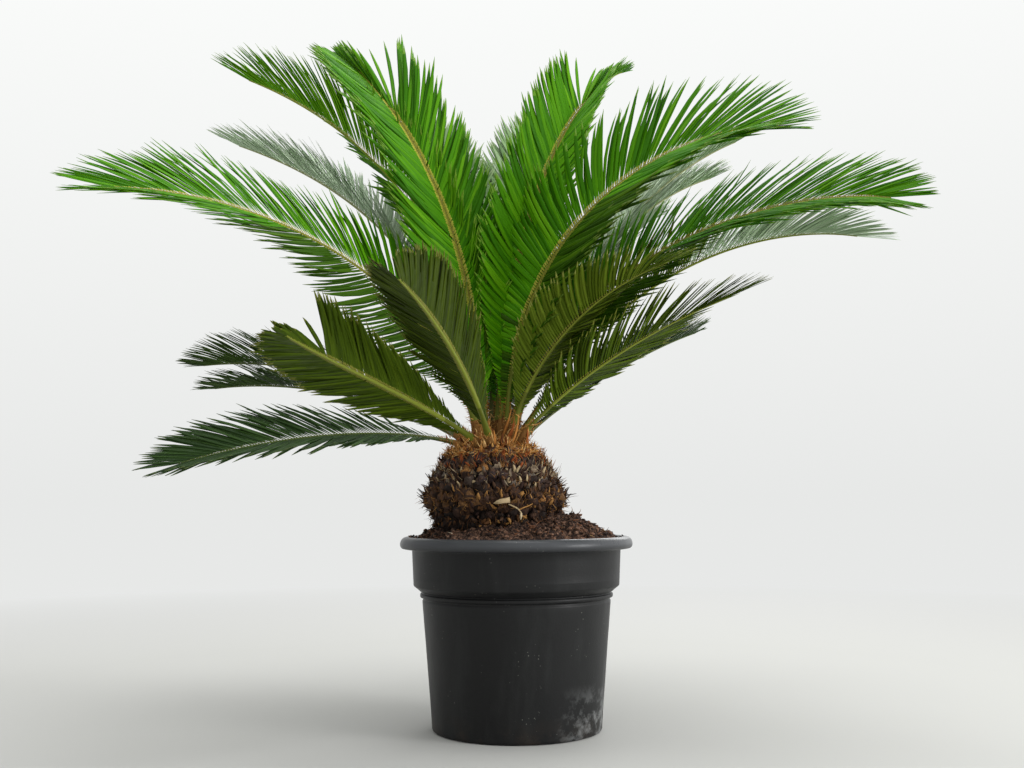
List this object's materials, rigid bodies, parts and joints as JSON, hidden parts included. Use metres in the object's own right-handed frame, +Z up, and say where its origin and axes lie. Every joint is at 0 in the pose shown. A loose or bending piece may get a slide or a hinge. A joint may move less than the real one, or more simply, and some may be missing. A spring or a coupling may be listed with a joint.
{
  "type": "potted sago palm",
  "caption": "Short-stemmed cycad with stiff arching feather fronds and a woolly crown, rooted in a round tapered plastic pot with a rolled rim.",
  "frame": {"origin": "centre of the flat underside of the pot", "axes": "+Z up; -Y is the side that faces the viewer, +X to the viewer's right"},
  "size_m": [1.2858, 1.4001, 1.2558],
  "materials": {
    "pot_plastic": "satin",
    "soil": "matte",
    "trunk": "matte",
    "crown_wool": "matte",
    "fronds": "satin"
  },
  "bodies": {
    "root": {"crown": "crown_wool", "frond_back_a": "fronds", "frond_back_b": "fronds", "frond_back_c": "fronds", "frond_back_d": "fronds", "frond_back_e": "fronds", "frond_back_f": "fronds", "frond_back_left_lower": "fronds", "frond_back_left_upper": "fronds", "frond_back_mid_lower": "fronds", "frond_back_mid_upper": "fronds", "frond_back_right_high": "fronds", "frond_back_right_low": "fronds", "frond_back_right_mid": "fronds", "frond_far_left_lower": "fronds", "frond_far_left_upper": "fronds", "frond_far_right_lower": "fronds", "frond_far_right_upper": "fronds", "frond_front_left": "fronds", "frond_front_mid": "fronds", "frond_front_right": "fronds", "frond_left_mid": "fronds", "frond_left_under": "fronds", "frond_low_left": "fronds", "frond_low_right": "fronds", "frond_right_back_low": "fronds", "frond_right_under_lower": "fronds", "frond_right_under_upper": "fronds", "frond_top_left_lower": "fronds", "frond_top_left_upper": "fronds", "frond_top_right": "fronds", "frond_upper_left": "fronds", "frond_upper_right_lower": "fronds", "frond_upper_right_upper": "fronds", "pot": "pot_plastic", "soil": "soil", "trunk": "trunk"}
  },
  "joints": []
}
